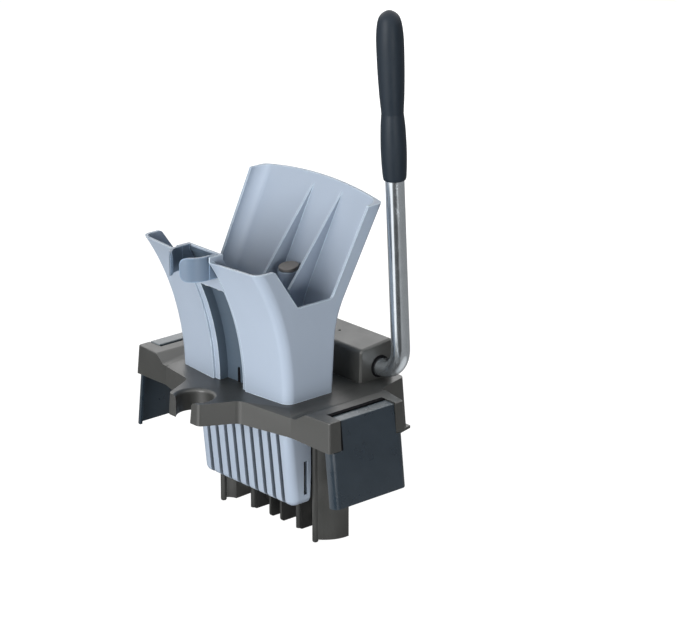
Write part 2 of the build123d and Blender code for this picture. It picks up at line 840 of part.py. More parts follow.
# Legs that carry the jaw's pivot pin in blind seats
pin_seat_x = leg_inner_end[0] - wall
pin_half = pin_seat_x + 2 * wall
for name, side in sides.items():
    with BuildPart() as leg:
        with BuildSketch(Plane.XY):
            with BuildLine():
                ThreePointArc(leg_nose, leg_outer_mid, leg_outer_end)
            trace(line_width=wall)
            with BuildLine():
                inner = ThreePointArc(leg_nose, leg_inner_mid, leg_inner_front)
                Line(inner @ 1, leg_inner_end)
            trace(line_width=wall)
        extrude(amount=-leg_drop)
        with BuildSketch(Plane.XY):
            with BuildLine():
                outer = ThreePointArc(leg_nose, leg_outer_mid, leg_outer_end)
                inner = ThreePointArc(leg_nose, leg_inner_mid, leg_inner_front)
                Polyline(outer @ 1, (leg_outer_end[0], leg_inner_end[1]), leg_inner_end, inner @ 1)
            make_face()
        extrude(amount=-wall)
        with BuildSketch(Plane.XY):
            with Locations(leg_nose):
                Circle(leg_nose_radius)
        extrude(amount=-leg_nose_drop)
        nose_tip = leg.edges().filter_by(GeomType.CIRCLE).sort_by(Axis.Z)[0]
        fillet(nose_tip, radius=leg_tip_radius)
        with Locations(Location((pin_seat_x, jaw_pivot_y, jaw_pivot_z), (0, 90, 0))):
            Cylinder(pin_radius + wall, 3 * wall, align=(Align.CENTER, Align.CENTER, Align.MIN))
            Cylinder(
                pin_radius + running_gap,
                2 * wall + fit_gap,
                align=(Align.CENTER, Align.CENTER, Align.MIN),
                mode=Mode.SUBTRACT,
            )
        drill(leg_screw_places["right"], 0, wall, screw_radius + fit_gap)
        if side < 0:
            mirror(about=Plane.YZ, mode=Mode.REPLACE)
    finish(leg, f"{name}_leg")
leg_screws = leg_screw_places["left"] + leg_screw_places["right"]
screw_group("leg_screws", leg_screws, -wall, under_length)


# Jaw pivot pin, and the spacers that keep the jaw in the middle
pivot = Location((0, jaw_pivot_y, jaw_pivot_z), (0, 90, 0))
spacer_inner_x = jaw_outer_rib_x + cam_width / 2 + fit_gap
spacer_outer_x = pin_seat_x - fit_gap
with BuildPart() as jaw_pivot_pin:
    with Locations(pivot):
        Cylinder(pin_radius, 2 * pin_half)
    chamfer(jaw_pivot_pin.edges(), length=pin_chamfer)
finish(jaw_pivot_pin, "jaw_pivot_pin")
with BuildPart() as pivot_spacers:
    for side in (-1, 1):
        with BuildSketch(Plane.YZ.offset(side * spacer_inner_x)):
            with Locations((jaw_pivot_y, jaw_pivot_z)):
                Circle(pin_radius + wall)
                Circle(pin_radius + running_gap, mode=Mode.SUBTRACT)
        extrude(amount=side * (spacer_outer_x - spacer_inner_x))
finish(pivot_spacers, "pivot_spacers")


# Press jaw
pad_normal = (-cos(radians(pad_slope)), -sin(radians(pad_slope)))
pad_along = (-sin(radians(pad_slope)), cos(radians(pad_slope)))
pad_foot = (shaft_y + pad_reach * pad_normal[0], shaft_z + pad_reach * pad_normal[1])
pad_top = (pad_foot[0] + pad_high * pad_along[0], pad_foot[1] + pad_high * pad_along[1])
pad_end = (pad_foot[0] - pad_low * pad_along[0], pad_foot[1] - pad_low * pad_along[1])
arm_foot_z = jaw_plate_top_z - arm_foot_drop
arm_outline = [
    (jaw_rib_back_y - arm_back_inset, jaw_plate_top_z),
    (pad_top[0] - arm_neck, pad_top[1]),
    pad_top,
    pad_end,
    (pad_end[0] - arm_toe[0], pad_end[1] - arm_toe[1]),
    (jaw_rib_back_y, arm_foot_z),
    (jaw_rib_back_y - arm_foot_width, arm_foot_z),
]
bush_hole = pin_radius + jaw_bush_wall
bush_places = [Location((s * jaw_outer_rib_x, jaw_pivot_y, jaw_pivot_z), (0, 90, 0)) for s in (-1, 1)]
with BuildPart() as press_jaw:
    with Locations((0, jaw_front_y, jaw_plate_top_z)):
        Box(
            2 * jaw_half_width,
            jaw_plate,
            jaw_plate_top_z - jaw_plate_low_z,
            align=(Align.CENTER, Align.MIN, Align.MAX),
        )
    slots = [0] + [s * x for s in (-1, 1) for x in jaw_slot_places]
    slot_length = jaw_plate_top_z - jaw_plate_low_z - 2 * jaw_slot_margin
    with Locations(*[(x, jaw_front_y, (jaw_plate_top_z + jaw_plate_low_z) / 2) for x in slots]):
        Box(jaw_slot_width, 4 * jaw_plate, slot_length, mode=Mode.SUBTRACT)
    ribs = [(s * jaw_outer_rib_x, jaw_outer_rib) for s in (-1, 1)]
    ribs += [(s * jaw_inner_rib_x, jaw_inner_rib) for s in (-1, 1)]
    for x, thickness in ribs:
        with BuildSketch(Plane.YZ.offset(x - thickness / 2)):
            with BuildLine():
                FilletPolyline(
                    (jaw_front_y, jaw_plate_top_z),
                    (jaw_front_y, jaw_low_z),
                    (jaw_rib_back_y, jaw_low_z),
                    (jaw_rib_back_y, jaw_plate_top_z),
                    close=True,
                    radius=jaw_rib_radius,
                )
            make_face()
        extrude(amount=thickness)
    for side in (-1, 1):
        with BuildSketch(Plane.YZ.offset(side * jaw_outer_rib_x - cam_width / 2)):
            Polygon(*arm_outline, align=None)
        extrude(amount=cam_width)
        with Locations((side * jaw_outer_rib_x, jaw_front_y + jaw_bead_inset, jaw_plate_low_z)):
            Cylinder(
                jaw_bead_radius,
                jaw_plate_low_z - jaw_low_z - 2 * jaw_bead_inset,
                align=(Align.CENTER, Align.CENTER, Align.MAX),
            )
    with Locations(*bush_places):
        Cylinder(bush_hole + wall, cam_width)
        Cylinder(bush_hole, 2 * cam_width, mode=Mode.SUBTRACT)
    with Locations(pivot):
        Cylinder(pin_radius + fit_gap, 4 * jaw_inner_rib_x, mode=Mode.SUBTRACT)
finish(press_jaw, "press_jaw")
with BuildPart() as jaw_bushes:
    with Locations(*bush_places):
        Cylinder(bush_hole, cam_width)
        Cylinder(pin_radius + running_gap, cam_width, mode=Mode.SUBTRACT)
finish(jaw_bushes, "jaw_bushes")


# Lever tube: the cross shaft, a bend and the upright lever, leaning a little to the front
lever_plane = Plane(
    origin=(0, shaft_y, shaft_z),
    x_dir=(1, 0, 0),
    z_dir=(0, -cos(radians(lever_lean)), -sin(radians(lever_lean))),
)
cam_places = (-jaw_outer_rib_x, jaw_outer_rib_x)
tube_top = lever_length - grip_cap
with BuildPart() as lever_tube:
    with BuildLine(lever_plane) as lever_path:
        FilletPolyline((shaft_left_x, 0), (lever_x, 0), (lever_x, tube_top), radius=lever_bend_radius)
    with BuildSketch(Plane((shaft_left_x, shaft_y, shaft_z), z_dir=(1, 0, 0))):
        Circle(tube_radius)
    sweep(path=lever_path.wire())
    with BuildSketch(Plane((shaft_left_x, shaft_y, shaft_z), z_dir=(1, 0, 0))):
        Circle(tube_radius - tube_wall)
    sweep(path=lever_path.wire(), mode=Mode.SUBTRACT)
    with Locations(*[(x, shaft_y, shaft_z) for x in cam_places]):
        Cylinder(cam_pin_radius, 4 * tube_radius, mode=Mode.SUBTRACT)
finish(lever_tube, "lever_tube")

grip_start = lever_length - grip_length
with BuildPart() as lever_grip:
    with BuildSketch(lever_plane):
        with BuildLine():
            flank = Spline(
                (lever_x + grip_end_radius, grip_start),
                (lever_x + grip_low_radius, grip_start + grip_low_part * grip_length),
                (lever_x + grip_waist_radius, grip_start + grip_waist_part * grip_length),
                (lever_x + grip_top_radius, grip_start + grip_top_part * grip_length),
                (lever_x + grip_dome_radius, grip_start + grip_dome_part * grip_length),
                (lever_x, lever_length),
                tangents=((0.3, 1), (-1, 0)),
            )
            Polyline(
                flank @ 1,
                (lever_x, tube_top),
                (lever_x + tube_radius, tube_top),
                (lever_x + tube_radius, grip_start),
                flank @ 0,
            )
        make_face()
    revolve(axis=Axis(lever_plane.from_local_coords((lever_x, 0, 0)), lever_plane.y_dir))
finish(lever_grip, "lever_grip")


# Cams: each flank is the curve that stays against the sloping pad as the jaw follows the lever
def bearing(angle):
    """Unit vector in (forward, up), turned from up towards the front."""
    return Vector(sin(radians(angle)), cos(radians(angle)))


def cam_point(turn):
    """Point of the cam flank that touches the pad when the lever has turned by an angle."""
    rest = 90 + pad_slope
    swung = rest + jaw_ratio * turn
    pivot_from_shaft = Vector(shaft_y - jaw_pivot_y, jaw_pivot_z - shaft_z)
    pad_from_pivot = bearing(rest) * pad_reach - pivot_from_shaft
    reach = bearing(swung).dot(pivot_from_shaft) + bearing(rest).dot(pad_from_pivot) - cam_gap
    across = bearing(swung + 90).dot(pivot_from_shaft) * -jaw_ratio / (1 - jaw_ratio)
    facing = rest - (1 - jaw_ratio) * turn
    point = bearing(facing) * reach + bearing(facing + 90) * across
    return (shaft_y - point.X, shaft_z + point.Y)


flank_points = [cam_point(lever_travel * i / (cam_steps - 1)) for i in range(cam_steps)]
for name, x in zip(sides, cam_places):
    with BuildPart() as cam:
        with BuildSketch(Plane.YZ.offset(x - cam_width / 2)):
            with BuildLine():
                flank = Spline(*flank_points)
                tip = flank @ 1
                Polyline(
                    tip,
                    (tip.X + cam_tip_back[0], tip.Y + cam_tip_back[1]),
                    (shaft_y, shaft_z + cam_hub_radius - overlap),
                    (shaft_y, shaft_z),
                    flank @ 0,
                )
            make_face()
            with Locations((shaft_y, shaft_z)):
                Circle(cam_hub_radius)
                Circle(tube_radius, mode=Mode.SUBTRACT)
        extrude(amount=cam_width)
        with Locations((x, shaft_y, shaft_z)):
            Cylinder(cam_pin_radius, 4 * cam_hub_radius, mode=Mode.SUBTRACT)
    finish(cam, f"{name}_cam")
with BuildPart() as cam_pins:
    with Locations(*[(x, shaft_y, shaft_z) for x in cam_places]):
        Cylinder(cam_pin_radius, 2 * (cam_hub_radius - cam_pin_inset))
finish(cam_pins, "cam_pins")


# Shaft housing on the rear of the base plate
housing_front_top = plate_top + housing_front_height
housing_back_top = plate_top + housing_back_height
bush_radius = tube_radius + running_gap + bush_wall
with BuildPart() as shaft_housing:
    with BuildSketch(Plane.YZ):
        Polygon(
            (housing_front_y, plate_top),
            (housing_front_y, housing_front_top),
            (housing_back_y, housing_back_top),
            (housing_back_y, plate_top),
            align=None,
        )
    extrude(amount=housing_half_width, both=True)
    long_edges = shaft_housing.edges().filter_by(Axis.X)
    fillet(long_edges.filter_by(lambda e: e.center().Z > plate_top + wall), radius=housing_top_radius)
    upper_edges = shaft_housing.edges().filter_by(lambda e: e.center().Z > plate_top + wall)
    end_edges = upper_edges.filter_by(lambda e: abs(e.center().X) > housing_half_width - wall)
    fillet(end_edges, radius=housing_end_radius)
    housing_inner_half = housing_half_width - housing_end_wall
    with BuildSketch(Plane.YZ):
        Polygon(
            (housing_front_y + wall, plate_top),
            (housing_front_y + wall, housing_front_top - wall),
            (housing_back_y - wall, housing_back_top - wall),
            (housing_back_y - wall, plate_top),
            align=None,
        )
    extrude(amount=housing_inner_half, both=True, mode=Mode.SUBTRACT)
    # Windows for the jaw's arms
    with Locations(*[(side * jaw_outer_rib_x, housing_front_y, plate_top) for side in (-1, 1)]):
        Box(
            2 * arm_slot_half,
            4 * wall,
            housing_front_height - housing_lintel,
            align=(Align.CENTER, Align.CENTER, Align.MIN),
            mode=Mode.SUBTRACT,
        )
    # Posts that take the screws from below, and the oil holes over the shaft
    with Locations(*[(x, y, plate_top) for x, y in housing_screw_places]):
        Cylinder(screw_radius + post_wall, post_height, align=(Align.CENTER, Align.CENTER, Align.MIN))
    drill(housing_screw_places, plate_top + screw_bite + screw_end_gap, housing_back_height, screw_radius)
    oil_holes = [(-oil_hole_x, oil_hole_y), (oil_hole_x, oil_hole_y)]
    drill(oil_holes, housing_back_top, 3 * wall, oil_hole_radius)
    with Locations(Location((0, shaft_y, shaft_z), (0, 90, 0))):
        Cylinder(bush_radius, 4 * housing_half_width, mode=Mode.SUBTRACT)
finish(shaft_housing, "shaft_housing")
screw_group("housing_screws", housing_screw_places, 0, plate_thickness + screw_bite)

bush_inner_x = housing_inner_half - bush_flange
for name, side in sides.items():
    with BuildPart() as bush:
        with BuildSketch(Plane.YZ.offset(side * bush_inner_x)):
            with Locations((shaft_y, shaft_z)):
                Circle(bush_radius)
        extrude(amount=side * (housing_half_width - bush_inner_x))
        with BuildSketch(Plane.YZ.offset(side * bush_inner_x)):
            with Locations((shaft_y, shaft_z)):
                Circle(bush_radius + bush_flange_lip)
        extrude(amount=side * bush_flange)
        with Locations(Location((0, shaft_y, shaft_z), (0, 90, 0))):
            Cylinder(tube_radius + running_gap, 4 * housing_half_width, mode=Mode.SUBTRACT)
    finish(bush, f"{name}_shaft_bush")

ring_x = bush_inner_x - ring_width / 2 - fit_gap
with BuildPart() as shaft_rings:
    with Locations(*[Location((s * ring_x, shaft_y, shaft_z), (0, 90, 0)) for s in (-1, 1)]):
        Cylinder(bush_radius + bush_flange_lip, ring_width)
        Cylinder(tube_radius, ring_width, mode=Mode.SUBTRACT)
finish(shaft_rings, "shaft_rings")
with BuildPart() as shaft_end_plug:
    with Locations(Location((shaft_left_x, shaft_y, shaft_z), (0, 90, 0))):
        Cylinder(tube_radius - tube_wall, plug_length, align=(Align.CENTER, Align.CENTER, Align.MIN))
        Cylinder(tube_radius, plug_cap, align=(Align.CENTER, Align.CENTER, Align.MAX))
finish(shaft_end_plug, "shaft_end_plug")


# Side panels, hooked into the open corners of the base
panel_top_z = plate_top
panel_step_z = -skirt_drop - panel_step_gap
panel_height = panel_top_z - panel_low_z
panel_step_x = panel_top_x + panel_slant * (panel_top_z - panel_step_z) / panel_height
panel_low_x = panel_top_x + panel_slant
low_width = panel_low_back_y - panel_low_front_y
low_middle = (panel_low_back_y + panel_low_front_y) / 2
low_drop = panel_step_z - panel_low_z
low_shift = panel_low_x - panel_step_x
slope = (low_shift, 0, -low_drop)
run = sqrt(low_drop**2 + low_shift**2)
from_right = (Align.MAX, Align.CENTER)
for name, side in sides.items():
    with BuildPart() as panel:
        with BuildSketch(Plane.XZ.offset(-panel_back_y + fit_gap)):
            Polygon(
                (panel_foot_inner_x, -wall),
                (panel_foot_inner_x, 0),
                (panel_inner_x, 0),
                (panel_inner_x, panel_top_z),
                (panel_top_x, panel_top_z),
                (panel_step_x, panel_step_z),
                (panel_step_x - wall, panel_step_z),
                (panel_top_x - wall, panel_top_z - wall),
                (panel_inner_x + wall, panel_top_z - wall),
                (panel_inner_x + wall, -wall),
                align=None,
            )
        extrude(amount=panel_back_y - panel_front_y - 2 * fit_gap)
        with BuildSketch(Plane.XY.offset(panel_step_z)):
            with Locations((panel_step_x, low_middle)):
                RectangleRounded(2 * panel_return, low_width, panel_corner_radius, align=from_right)
            with Locations((panel_step_x - wall, low_middle)):
                RectangleRounded(
                    4 * panel_return,
                    low_width - 2 * wall,
                    panel_corner_radius - wall,
                    align=from_right,
                    mode=Mode.SUBTRACT,
                )
            with Locations((panel_step_x - panel_return, low_middle)):
                Rectangle(2 * panel_return, low_width, align=from_right, mode=Mode.SUBTRACT)
        extrude(amount=run, dir=slope)
        with BuildSketch(Plane.XY.offset(panel_step_z)):
            with Locations((panel_step_x, low_middle)):
                RectangleRounded(2 * panel_return, low_width, panel_corner_radius, align=from_right)
            with Locations((panel_step_x - panel_return, low_middle)):
                Rectangle(2 * panel_return, low_width, align=from_right, mode=Mode.SUBTRACT)
        extrude(amount=run * wall / low_drop, dir=slope)
        drill(panel_screw_places["right"], 0, wall, screw_radius + fit_gap)
        if side < 0:
            mirror(about=Plane.YZ, mode=Mode.REPLACE)
    finish(panel, f"{name}_side_panel")
panel_screws = panel_screw_places["left"] + panel_screw_places["right"]
screw_group("side_panel_screws", panel_screws, -wall, under_length)


# Funnel lock: knob, rod and the cross bar that turns under the base plate
rod_low_z = lock_bar_z - lock_bar_height - lock_rod_end
knob_rise = 2 * lock_knob_radius * knob_tangent
knob_high_z = knob_z + lock_knob_thickness + knob_rise
with BuildPart() as lock_knob:
    with Locations((lock_x, lock_y, knob_z)):
        Cylinder(lock_knob_radius, knob_high_z - knob_z, align=(Align.CENTER, Align.CENTER, Align.MIN))
    with BuildSketch(Plane.YZ):
        Polygon(
            (lock_y - lock_knob_radius, knob_z + lock_knob_thickness),
            (lock_y + lock_knob_radius, knob_high_z),
            (lock_y + lock_knob_radius, knob_high_z + knob_rise),
            (lock_y - lock_knob_radius, knob_high_z + knob_rise),
            align=None,
        )
    extrude(amount=lock_x + 2 * lock_knob_radius, both=True, mode=Mode.SUBTRACT)
    fillet(lock_knob.faces().sort_by(Axis.Z)[-1].edges(), radius=lock_knob_edge)
    with Locations((lock_x, lock_y, knob_z)):
        Cylinder(
            lock_rod_radius,
            lock_socket,
            align=(Align.CENTER, Align.CENTER, Align.MIN),
            mode=Mode.SUBTRACT,
        )
finish(lock_knob, "lock_knob")
with BuildPart() as lock_rod:
    with Locations((lock_x, lock_y, rod_low_z)):
        Cylinder(
            lock_rod_radius,
            knob_z + lock_socket - rod_low_z,
            align=(Align.CENTER, Align.CENTER, Align.MIN),
        )
    with Locations((lock_x, lock_y, lock_bar_z)):
        Box(
            lock_bar_width,
            lock_bar_length,
            lock_bar_height,
            align=(Align.CENTER, Align.CENTER, Align.MAX),
            mode=Mode.SUBTRACT,
        )
finish(lock_rod, "lock_rod")
with BuildPart() as lock_bar:
    with Locations((lock_x, lock_y, lock_bar_z)):
        Box(
            lock_bar_width,
            lock_bar_length,
            lock_bar_height,
            align=(Align.CENTER, Align.CENTER, Align.MAX),
        )
finish(lock_bar, "lock_bar")


# Return springs, wound round the lever shaft and round the jaw pin
def spring(label, centre, mean_radius, wire, turns, pitch):
    """Helical spring along X, centred on a point."""
    length = turns * pitch
    start = (centre[0] - length / 2, centre[1], centre[2])
    with BuildPart() as coil:
        with BuildLine() as path:
            Helix(pitch, length, mean_radius, center=start, direction=(1, 0, 0))
        with BuildSketch(Plane(path.wire() @ 0, z_dir=path.wire() % 0)):
            Circle(wire / 2)
        sweep(path=path.wire(), is_frenet=True)
    finish(coil, label)


lever_spring_radius = tube_radius + lever_spring_wire / 2 + lever_spring_gap
spring(
    "lever_return_spring",
    (0, shaft_y, shaft_z),
    lever_spring_radius,
    lever_spring_wire,
    lever_spring_turns,
    lever_spring_wire + coil_gap,
)
jaw_spring_radius = pin_radius + jaw_spring_wire / 2 + jaw_spring_gap
spring(
    "jaw_return_spring",
    (0, jaw_pivot_y, jaw_pivot_z),
    jaw_spring_radius,
    jaw_spring_wire,
    jaw_spring_turns,
    jaw_spring_wire + coil_gap,
)
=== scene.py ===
import json
from math import cos, pi, radians, sin

import bmesh
import bpy
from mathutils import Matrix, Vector


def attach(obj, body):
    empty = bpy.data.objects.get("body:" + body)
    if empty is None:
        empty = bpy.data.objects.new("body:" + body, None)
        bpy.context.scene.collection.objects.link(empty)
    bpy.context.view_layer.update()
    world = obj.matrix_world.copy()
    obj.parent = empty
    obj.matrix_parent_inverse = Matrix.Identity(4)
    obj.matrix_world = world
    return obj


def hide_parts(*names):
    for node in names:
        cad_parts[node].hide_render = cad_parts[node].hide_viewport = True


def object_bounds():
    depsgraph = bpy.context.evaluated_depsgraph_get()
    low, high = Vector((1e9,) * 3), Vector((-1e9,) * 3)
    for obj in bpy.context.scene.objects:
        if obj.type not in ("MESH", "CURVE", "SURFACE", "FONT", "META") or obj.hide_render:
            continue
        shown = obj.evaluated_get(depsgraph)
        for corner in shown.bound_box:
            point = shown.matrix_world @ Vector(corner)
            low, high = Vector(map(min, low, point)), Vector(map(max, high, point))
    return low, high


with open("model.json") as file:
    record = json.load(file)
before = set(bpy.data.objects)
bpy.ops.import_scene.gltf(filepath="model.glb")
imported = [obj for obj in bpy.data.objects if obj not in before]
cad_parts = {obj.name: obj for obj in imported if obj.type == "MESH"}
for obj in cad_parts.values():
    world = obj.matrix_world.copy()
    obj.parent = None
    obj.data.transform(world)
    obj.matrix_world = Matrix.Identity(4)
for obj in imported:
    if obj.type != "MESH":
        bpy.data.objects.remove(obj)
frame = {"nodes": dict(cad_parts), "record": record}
cad_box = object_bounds()
nodes = frame["nodes"]

MM = 0.001

# Colours, linear
BLUE = (0.385, 0.455, 0.555)
CLIP = (0.14, 0.195, 0.27)
# Painted shade: the dark blue of the sheets that darken the pole channel and the clip's pocket
CHANNEL_SHADE = (0.08, 0.112, 0.15)
TAUPE = (0.036, 0.037, 0.035)
# Painted shade: the jaw is a darker copy of the taupe, as its ribs lie in shade
JAW_IN_SHADE = (0.022, 0.023, 0.022)
NAVY = (0.017, 0.029, 0.042)
# Painted sheen: the panel tops are a lighter copy of the panels' navy
RAIL_SHEEN = (0.075, 0.098, 0.115)
GRIP = (0.012, 0.019, 0.028)
KNOB = (0.21, 0.195, 0.182)
DARK = (0.022, 0.022, 0.024)
# Painted shadow: the near-black of the strips and rings that stand in for shaded gaps and openings
GAP_SHADOW = (0.004, 0.004, 0.005)
ACETAL = (0.62, 0.61, 0.58)
ZINC = (0.66, 0.71, 0.75)
STEEL = (0.47, 0.47, 0.48)
WHITE = (1.0, 1.0, 1.0, 1.0)

# Noise: the part of its range that is used, and how rich it is
NOISE_SPAN = (0.3, 0.7)
RICH = 4.0
PLAIN = 3.0
FINE = 2.0

# Moulded plastic: scales in features per metre, depths in metres
CLOUD_SCALE = 14
CLOUD_STRETCH = (1, 1, 0.45)
SPECK_SCALE = 900
SPECK_SPAN = (0.62, 0.74)
EDGE_PATCH_SCALE = 60
EDGE_PATCH_LEVELS = (0.4, 1.0)
GLOSS_SCALE = 45
GRAIN_SCALE = 2200
GRAIN_DEPTH = 0.00012
EDGE_SAMPLES = 4
EDGE_SPAN = (0.8, 0.99)
HOLLOW_SAMPLES = 12
HOLLOW_SPAN = (0.2, 0.9)

# Steel: clouds, gloss and drawing lines
STEEL_SPREAD = 0.05
STEEL_CLOUD_SCALE = 30
STEEL_GLOSS_SCALE = 90
LINE_SCALE = 420
LINE_SPAN = (0.55, 0.8)
LINE_LEVELS = (0.0, 0.5)
LINE_SHADE = 0.86
LINE_STRENGTH = 0.03
LINE_DEPTH = 0.00005


def shade(colour, factor):
    """The same colour made lighter or darker."""
    return tuple(min(1.0, channel * factor) for channel in colour) + (1.0,)


class Tree:
    """Short calls for building a node tree."""

    def __init__(self, owner):
        owner.use_nodes = True
        self.tree = owner.node_tree

    def add(self, kind, **settings):
        node = self.tree.nodes.new(kind)
        for key, value in settings.items():
            setattr(node, key, value)
        return node

    def link(self, source, target):
        self.tree.links.new(source, target)

    def fill(self, value, target):
        """Link a socket, or set a constant."""
        if isinstance(value, (float, tuple)):
            target.default_value = value
        else:
            self.link(value, target)

    def ranged(self, value, levels=(0.0, 1.0), span=NOISE_SPAN, kind="LINEAR"):
        """A value that goes from one level to the other over a span."""
        node = self.add("ShaderNodeMapRange", interpolation_type=kind)
        for names, ends in ((("From Min", "From Max"), span), (("To Min", "To Max"), levels)):
            for name, end in zip(names, ends):
                node.inputs[name].default_value = end
        self.link(value, node.inputs["Value"])
        return node.outputs["Result"]

    def combine(self, operation, first, second):
        """Maths on a socket and a second socket or constant."""
        node = self.add("ShaderNodeMath", operation=operation)
        self.link(first, node.inputs[0])
        self.fill(second, node.inputs[1])
        return node.outputs["Value"]

    def vector(self, operation, first, second=None):
        """Vector maths on a socket and, if there is one, a second socket or constant."""
        node = self.add("ShaderNodeVectorMath", operation=operation)
        self.link(first, node.inputs[0])
        if second is not None:
            self.fill(second, node.inputs[1])
        return node.outputs


class Finish(Tree):
    """The node tree of one material, laid over each object's own space."""

    def __init__(self, name):
        self.material = bpy.data.materials.new(name)
        super().__init__(self.material)
        self.shader = self.tree.nodes["Principled BSDF"]
        self.place = self.add("ShaderNodeTexCoord").outputs["Object"]

    def noise(self, scale, detail, stretch=(1, 1, 1)):
        """Noise, in features per metre."""
        mapping = self.add("ShaderNodeMapping")
        mapping.inputs["Scale"].default_value = stretch
        noise = self.add("ShaderNodeTexNoise")
        noise.inputs["Scale"].default_value = scale
        noise.inputs["Detail"].default_value = detail
        self.link(self.place, mapping.inputs["Vector"])
        self.link(mapping.outputs["Vector"], noise.inputs["Vector"])
        return noise.outputs["Fac"]

    def mix(self, factor, first, second):
        """Mix two colours, each a socket or a constant."""
        node = self.add("ShaderNodeMix", data_type="RGBA")
        self.link(factor, node.inputs["Factor"])
        colours = {socket.name: socket for socket in node.inputs if socket.type == "RGBA"}
        self.fill(first, colours["A"])
        self.fill(second, colours["B"])
        return next(socket for socket in node.outputs if socket.type == "RGBA")

    def edges(self, radius):
        """A mask that is high along convex and concave edges, where they are made lighter, partly
        scuffed and partly a painted highlight.
        """
        bevel = self.add("ShaderNodeBevel", samples=EDGE_SAMPLES)
        bevel.inputs["Radius"].default_value = radius
        flat = self.add("ShaderNodeNewGeometry").outputs["Normal"]
        likeness = self.vector("DOT_PRODUCT", bevel.outputs["Normal"], flat)["Value"]
        return self.ranged(likeness, (1.0, 0.0), EDGE_SPAN)

    def hollow_shade_mask(self, reach):
        """A mask that is high far into corners and recesses, where painted shade goes."""
        shadow = self.add("ShaderNodeAmbientOcclusion", samples=HOLLOW_SAMPLES)
        shadow.inputs["Distance"].default_value = reach
        return self.ranged(shadow.outputs["AO"], (1.0, 0.0), HOLLOW_SPAN)

    def colour(self, source):
        self.link(source, self.shader.inputs["Base Color"])

    def gloss(self, scale, rough):
        """Roughness that wanders between two levels."""
        self.link(self.ranged(self.noise(scale, PLAIN), rough), self.shader.inputs["Roughness"])

    def bump(self, height, strength, distance):
        bump = self.add("ShaderNodeBump")
        bump.inputs["Strength"].default_value = strength
        bump.inputs["Distance"].default_value = distance
        self.link(height, bump.inputs["Height"])
        self.link(bump.outputs["Normal"], self.shader.inputs["Normal"])


def plastic(
    name,
    colour,
    rough,
    spread,
    edge_wear_and_highlight,
    edge=0.0012,
    grain=0.12,
    specular=0.45,
    hollow_shade=0.7,
    reach=0.02,
):
    """Moulded plastic: fine grain, faint flow clouds, painted shade in corners and recesses, and edges
    made lighter, partly scuffed and partly a painted highlight.
    """
    build = Finish(name)
    clouds = build.ranged(build.noise(CLOUD_SCALE, RICH, CLOUD_STRETCH))
    base = build.mix(clouds, shade(colour, 1 - spread), shade(colour, 1 + spread))
    specks = build.ranged(build.noise(SPECK_SCALE, FINE), span=SPECK_SPAN)
    speckled = build.mix(specks, base, shade(colour, 1 + 2 * spread))
    # painted shade: the colour goes darker far into corners and recesses, where shade falls
    shaded = build.mix(build.hollow_shade_mask(reach), speckled, shade(colour, hollow_shade))
    # edges made lighter: partly scuffing, partly a painted highlight along the rims
    edge_patches = build.ranged(build.noise(EDGE_PATCH_SCALE, RICH), EDGE_PATCH_LEVELS)
    worn_and_highlit_edges = build.combine("MULTIPLY", build.edges(edge), edge_patches)
    build.colour(build.mix(worn_and_highlit_edges, shaded, shade(colour, edge_wear_and_highlight)))
    build.gloss(GLOSS_SCALE, rough)
    build.shader.inputs["Specular IOR Level"].default_value = specular
    build.bump(build.noise(GRAIN_SCALE, FINE), grain, GRAIN_DEPTH)
    return build.material


def metal(name, colour, rough, streak=(1, 1, 1), bare=1.0):
    """Plated or bare steel: soft clouds in its colour and gloss, and faint drawing lines."""
    build = Finish(name)
    clouds = build.ranged(build.noise(STEEL_CLOUD_SCALE, PLAIN))
    base = build.mix(clouds, shade(colour, 1 - STEEL_SPREAD), shade(colour, 1 + STEEL_SPREAD))
    lines = build.noise(LINE_SCALE, FINE, streak)
    drawn = build.ranged(lines, LINE_LEVELS, LINE_SPAN)
    build.colour(build.mix(drawn, base, shade(colour, LINE_SHADE)))
    build.gloss(STEEL_GLOSS_SCALE, rough)
    build.shader.inputs["Metallic"].default_value = bare
    build.bump(lines, LINE_STRENGTH, LINE_DEPTH)
    return build.material


